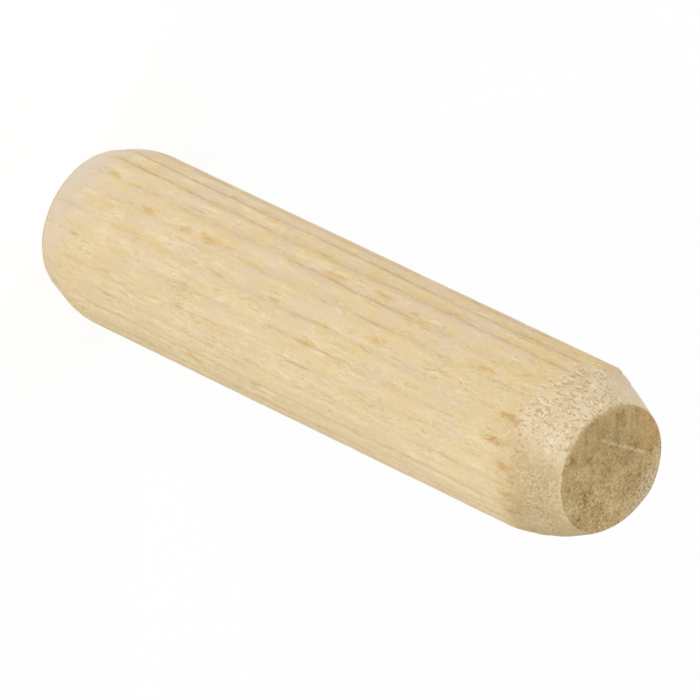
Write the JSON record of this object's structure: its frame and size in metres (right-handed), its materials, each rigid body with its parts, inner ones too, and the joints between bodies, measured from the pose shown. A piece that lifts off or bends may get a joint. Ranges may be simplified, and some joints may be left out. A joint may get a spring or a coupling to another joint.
{
  "type": "dowel pin",
  "caption": "Round wooden dowel pin with straight flutes along its shank and a chamfer at each end, glued into two facing holes to join boards.",
  "frame": {"origin": "middle of the lower end face, where the pin stands on its end", "axes": "+Z runs along the pin from the lower end to the upper end, and +X passes through the crown of a ridge"},
  "size_m": [0.01, 0.01, 0.04],
  "materials": {
    "wood": "bare, unfinished pale wood, matte"
  },
  "bodies": {
    "root": {"dowel_pin": "wood"}
  },
  "joints": []
}
